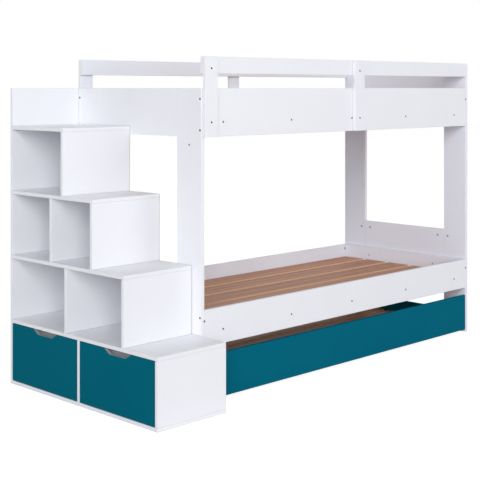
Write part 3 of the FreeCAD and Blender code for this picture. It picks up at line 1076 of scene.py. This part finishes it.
@dataclass
class EndPanels(Assembly):
    """Two end panels of legs and boards, bolted to the rails."""

    bolt: SocketScrew = SocketScrew(diameter=0.007, length=0.050, socket_width=0.004, head=0.009)
    bolt_heights: tuple[float, ...] = (0.262, 0.354, 1.118, 1.246)
    rail_thickness: float = 0.015
    seam_cap: PressedCap = PressedCap(diameter=0.009)
    cam_cap: PressedCap = PressedCap(diameter=0.011)
    stair_cap: PressedCap = PressedCap(diameter=0.008)
    cam_height: float = 0.497
    front_cam_offsets: tuple[float, float] = (-0.023, 0.041)
    rear_cam_offsets: tuple[float, float] = (-0.037, 0.024)
    seam_cap_places: tuple[tuple[str, float], ...] = (
        ("right_front_leg", 1.230),
        ("left_front_leg", 0.339),
        ("right_front_leg", 0.339),
    )
    corner_cap_height: float = 0.361
    stair_cap_place: tuple[float, float] = (0.072, 1.057)

    def build(self) -> None:
        """Dress the boards, then model the bolts and caps."""
        for side, finish in (("left", WHITE_MELAMINE), ("right", WHITE_RIGHT_BOARD)):
            boards = ("front_leg", "rear_leg", "upper_board", "middle_board")
            self.dress(finish, *[f"{side}_{board}" for board in boards])
        self.build_bolts()
        self.build_cam_caps()
        self.build_seam_caps()

    def build_bolts(self) -> None:
        """Socket bolts through the legs into the rails' ends; those at the right end are flush."""
        low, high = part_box("rail_bolts")
        groups = []
        for bolt, x, inward in (
            (self.bolt, low.x, Vector((1, 0, 0))),
            (self.bolt.headless(), high.x, Vector((-1, 0, 0))),
        ):
            lines = (low.y + bolt.diameter / 2, high.y - bolt.diameter / 2)
            places = [
                place_of(Vector((x, y, z)), inward) for y in lines for z in self.bolt_heights
            ]
            groups.append((bolt.model("bolt"), places))
        bolts = set_of("rail_socket_bolts", *groups)
        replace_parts(self.add(bolts, BLUED_STEEL, Slot.SCREW), "rail_bolts")

    def build_cam_caps(self) -> None:
        """Caps over the corner fittings, on the inner faces beside the legs' seams."""
        places = []
        for side, face, outward in (("left", 1, 1), ("right", 0, -1)):
            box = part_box(f"{side}_middle_board")
            cam_offsets = (self.front_cam_offsets, self.rear_cam_offsets)
            for corner, offsets in zip(box, cam_offsets):
                for offset in offsets:
                    at = Vector((box[face].x, corner.y + offset, self.cam_height))
                    places.append(place_of(at, Vector((-outward, 0, 0))))
        caps = set_of("cam_caps", (self.cam_cap.model("cam_cap"), places))
        self.add(caps, CAP_PLASTIC, Slot.SCREW)

    def build_seam_caps(self) -> None:
        """Small caps where a rail meets a leg or an end board, and one above the stair."""
        inward = Vector((0, 1, 0))
        places = []
        for leg, height in self.seam_cap_places:
            low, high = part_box(leg)
            seam = high.x if leg.startswith("left") else low.x
            places.append(place_of(Vector((seam, low.y, height)), inward))
        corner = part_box("end_boards")[1]
        rail_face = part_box("lower_rear_rail")[0].y
        x = corner.x - self.rail_thickness - self.seam_cap.diameter / 2
        places.append(place_of(Vector((x, rail_face, self.corner_cap_height)), inward))
        caps = set_of("rail_seam_caps", (self.seam_cap.model("seam_cap"), places))
        self.add(caps, DARK_CAP_PLASTIC, Slot.SCREW)
        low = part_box("left_front_leg")[0]
        across, height = self.stair_cap_place
        at = Vector((low.x, low.y + across, height))
        cap = set_of(
            "stair_fixing_cap", (self.stair_cap.model("cap"), [place_of(at, Vector((1, 0, 0)))])
        )
        self.add(cap, DARK_CAP_PLASTIC, Slot.SCREW)


@dataclass
class Bunks(Assembly):
    """Rails, inner end boards, bearers and slats of both bunks."""

    screw: SocketScrew = SocketScrew(
        diameter=0.006, length=0.045, socket_width=0.0035, head=0.0085
    )
    screw_heights: tuple[float, float] = (0.292, 1.150)
    first_screw: float = 0.125
    screw_pitch: float = 0.420
    screw_count: int = 5
    board_cap: PressedCap = PressedCap(diameter=0.008)
    board_cap_places: tuple[float, float] = (0.200, 0.634)
    board_cap_lift: float = 0.106

    def build(self) -> None:
        """Dress the boards and slats, then model the screws and caps."""
        for level in ("lower", "upper"):
            self.dress(WHITE_MELAMINE, f"{level}_front_rail")
            self.dress(WHITE_REAR_BOARD, f"{level}_rear_rail")
            self.dress(SLAT_WOOD, f"{level}_slats")
            self.dress(BEARER_WOOD, f"{level}_cross_members")
        self.dress(WHITE_RIGHT_BOARD, "end_boards")
        self.build_screws()
        self.build_board_caps()

    def build_screws(self) -> None:
        """Socket screws through the rails into the bearers."""
        low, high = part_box("rail_screws")
        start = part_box("left_front_leg")[0].x + self.first_screw
        places = []
        for index in range(self.screw_count):
            x = start + index * self.screw_pitch
            for z in self.screw_heights:
                places.append(place_of(Vector((x, low.y, z)), Vector((0, 1, 0))))
                places.append(place_of(Vector((x, high.y, z)), Vector((0, -1, 0))))
        screws = set_of("rail_socket_screws", (self.screw.model("screw"), places))
        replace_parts(self.add(screws, BLUED_STEEL, Slot.SCREW), "rail_screws")

    def build_board_caps(self) -> None:
        """Caps over the screws that hold the inner end boards to the panels."""
        low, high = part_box("end_boards")
        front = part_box("left_front_leg")[0].y
        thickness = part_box("lower_front_rail")[1].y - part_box("lower_front_rail")[0].y
        places = []
        for x, inward in ((low.x + thickness, -1), (high.x - thickness, 1)):
            for across in self.board_cap_places:
                for rail in ("lower_front_rail", "upper_front_rail"):
                    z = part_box(rail)[0].z + self.board_cap_lift
                    at = Vector((x, front + across, z))
                    places.append(place_of(at, Vector((inward, 0, 0))))
        caps = set_of("end_board_caps", (self.board_cap.model("board_cap"), places))
        self.add(caps, CAP_PLASTIC, Slot.SCREW)


@dataclass
class Guard(Assembly):
    """Posts and top boards above the upper rails."""

    screw: SocketScrew = SocketScrew(
        diameter=0.006, length=0.027, socket_width=0.0035, head=0.0085
    )
    screw_heights: tuple[float, float] = (1.150, 1.371)
    post_width: float = 0.071

    def build(self) -> None:
        """Dress posts and boards, then model the post screws; those at the rear are flush."""
        for side, finish in (("front", WHITE_MELAMINE), ("rear", WHITE_REAR_BOARD)):
            self.dress(finish, f"{side}_guard_posts", f"{side}_guard_board")
        low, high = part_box("front_guard_posts")
        lines = (low.x + self.post_width / 2, high.x - self.post_width / 2)
        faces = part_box("guard_post_screws")
        groups = []
        for screw, y, inward in (
            (self.screw, faces[0].y, Vector((0, 1, 0))),
            (self.screw.headless(), faces[1].y, Vector((0, -1, 0))),
        ):
            places = [
                place_of(Vector((x, y, z)), inward) for x in lines for z in self.screw_heights
            ]
            groups.append((screw.model("screw"), places))
        screws = set_of("post_socket_screws", *groups)
        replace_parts(self.add(screws, BLUED_STEEL, Slot.SCREW), "guard_post_screws")


@dataclass
class StairCabinet(Assembly):
    """Box steps with open niches, and the shell of the drawer space."""

    steps: int = 4

    def build(self) -> None:
        """Dress every board of the stair and the fixed runner members."""
        for step in range(1, self.steps + 1):
            self.dress(WHITE_MELAMINE, f"stair_riser_{step}", f"stair_tread_{step}")
        self.dress(
            WHITE_MELAMINE,
            "drawer_divider",
            "lower_niche_divider",
            "upper_niche_divider",
            "stair_rear_panel",
            "stair_base_board",
            "stair_side_panel",
        )
        self.dress(WHITE_HARDBOARD, "stair_back_sheet")
        self.dress(ZINC_STEEL, "cabinet_runners")


@dataclass
class Drawer(Assembly):
    """One drawer with a teal front, a white box, zinc-plated runners and a grey cup as painted
    shade.
    """

    # grey cup that stands in for the shade seen through the notch
    cup: ShadeCup = ShadeCup()

    def build(self) -> None:
        """Model the cup behind the front's notch and dress the drawer's pieces."""
        cup = self.cup.model(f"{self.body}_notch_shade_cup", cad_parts[f"{self.body}_front"])
        self.add(cup, CAP_PLASTIC, Slot.PLASTIC)
        self.dress(TEAL_DRAWER_FRONT, f"{self.body}_front")
        self.dress(WHITE_MELAMINE, f"{self.body}_sides", f"{self.body}_back")
        self.dress(WHITE_HARDBOARD, f"{self.body}_bottom")
        self.dress(ZINC_STEEL, f"{self.body}_runners")


@dataclass
class TrundleBed(Assembly):
    """Low bed on four wheels that rolls out from under the lower bunk."""

    body: str = "trundle"

    def build(self) -> None:
        """Dress the walls, the slatted base, the forks and the wheels."""
        self.dress(TEAL_MELAMINE, "trundle_front", "trundle_rear_board", "trundle_end_boards")
        self.dress(SLAT_WOOD, "trundle_slats")
        self.dress(BEARER_WOOD, "trundle_cross_members")
        self.dress(ZINC_STEEL, "trundle_wheel_brackets")
        for end in ("front", "rear"):
            self.dress(WHEEL_PLASTIC, f"{end}_left_wheel", f"{end}_right_wheel")


# ------------------------ studio


@dataclass(frozen=True)
class Lamp:
    """Square soft box that faces a point."""

    name: str
    at: tuple[float, float, float]
    size: float
    power: float
    target: tuple[float, float, float] = (0.0, 0.0, 0.6)

    def build(self) -> None:
        """Add the lamp."""
        lamp = bpy.data.lights.new(self.name, "AREA")
        lamp.shape = "SQUARE"
        lamp.size = self.size
        lamp.energy = self.power
        holder = bpy.data.objects.new(self.name, lamp)
        holder.location = self.at
        sight = Vector(self.target) - Vector(self.at)
        holder.rotation_euler = sight.to_track_quat("-Z", "Y").to_euler()
        bpy.context.scene.collection.objects.link(holder)


@dataclass(frozen=True)
class Studio:
    """Pale floor, white backdrop, soft lamps and the camera."""

    floor_size: float = 60.0
    floor_drop: float = 0.001
    floor_paint: str = "F4F4F4"
    floor_seen: str = "A8A8A8"
    floor_glow: float = 0.88
    ambient: float = 0.27
    camera_at: tuple[float, float, float] = (-3.832, -3.616, 1.290)
    camera_heading: float = -45.0
    lens: float = 82.4
    sensor_width: float = 36.0
    shift_y: float = -0.3165
    view_depth: float = 100.0
    lamps: tuple[Lamp, ...] = (
        Lamp("main_soft_box", at=(-12.4, -13.0, 6.4), size=10.0, power=2130),
        Lamp("left_soft_box", at=(-16.5, -6.0, 5.0), size=8.0, power=180),
        Lamp("front_soft_box", at=(6.0, -16.0, 5.2), size=9.0, power=400),
        Lamp("ceiling_soft_box", at=(0.0, 0.0, 12.0), size=8.0, power=105),
    )

    def build(self) -> None:
        """Set up the whole studio."""
        bpy.context.scene.view_settings.view_transform = "Standard"
        self.build_floor()
        self.build_world()
        self.build_camera()
        for lamp in self.lamps:
            lamp.build()

    def build_floor(self) -> None:
        """Pale floor that is white to the camera and keeps a faint shadow."""
        deselect()
        bpy.ops.mesh.primitive_plane_add(size=self.floor_size, location=(0, 0, -self.floor_drop))
        floor = bpy.context.object
        floor.name = "studio_floor"
        material = bpy.data.materials.new("pale_studio_floor")
        material.use_nodes = True
        tree = material.node_tree
        tree.nodes.clear()
        paint = add_node(tree, "ShaderNodeBsdfDiffuse", {"Color": linear(self.floor_paint)})
        seen = add_node(tree, "ShaderNodeBsdfDiffuse", {"Color": linear(self.floor_seen)})
        glow = add_node(tree, "ShaderNodeEmission", {"Strength": self.floor_glow})
        shown = add_node(
            tree,
            "ShaderNodeAddShader",
            links={0: seen.outputs["BSDF"], 1: glow.outputs["Emission"]},
        )
        ray = add_node(tree, "ShaderNodeLightPath")
        choice = add_node(
            tree,
            "ShaderNodeMixShader",
            links={
                0: ray.outputs["Is Camera Ray"],
                1: paint.outputs["BSDF"],
                2: shown.outputs["Shader"],
            },
        )
        add_node(tree, "ShaderNodeOutputMaterial", links={"Surface": choice.outputs["Shader"]})
        floor.data.materials.append(material)

    def build_world(self) -> None:
        """White backdrop to the camera, a softer white as ambient light."""
        world = bpy.data.worlds.new("studio_world")
        bpy.context.scene.world = world
        world.use_nodes = True
        tree = world.node_tree
        tree.nodes.clear()
        ray = add_node(tree, "ShaderNodeLightPath")
        mirror = add_node(
            tree,
            "ShaderNodeMath",
            {"operation": "MAXIMUM"},
            {0: ray.outputs["Is Glossy Ray"], 1: ray.outputs["Is Transmission Ray"]},
        )
        shown = add_node(
            tree,
            "ShaderNodeMath",
            {"operation": "MAXIMUM"},
            {0: mirror.outputs["Value"], 1: ray.outputs["Is Camera Ray"]},
        )
        strength = add_node(
            tree,
            "ShaderNodeMapRange",
            {"To Min": self.ambient, "To Max": 1.0},
            {"Value": shown.outputs["Value"]},
        )
        links = {"Strength": strength.outputs["Result"]}
        glow = add_node(tree, "ShaderNodeBackground", {"Color": linear("FFFFFF")}, links)
        add_node(tree, "ShaderNodeOutputWorld", links={"Surface": glow.outputs["Background"]})

    def build_camera(self) -> None:
        """Level camera that looks from the front left corner, its view shifted down."""
        lens = bpy.data.cameras.new("camera")
        lens.lens = self.lens
        lens.sensor_width = self.sensor_width
        lens.shift_y = self.shift_y
        lens.clip_end = self.view_depth
        camera = bpy.data.objects.new("camera", lens)
        camera.location = self.camera_at
        camera.rotation_euler = (math.radians(90), 0, math.radians(self.camera_heading))
        bpy.context.scene.collection.objects.link(camera)
        bpy.context.scene.camera = camera


def main() -> None:
    """Build every sub-assembly and the studio."""
    logging.basicConfig(level=logging.INFO, format="%(name)s: %(message)s")
    assemblies: list[Assembly] = [
        EndPanels(),
        Bunks(),
        Guard(),
        StairCabinet(),
        Drawer(body="front_drawer"),
        Drawer(body="rear_drawer"),
        TrundleBed(),
    ]
    for assembly in assemblies:
        assembly.build()
        log.info("%s: %d new pieces", type(assembly).__name__, len(assembly.pieces))
    Studio().build()


if __name__ == "__main__":
    main()
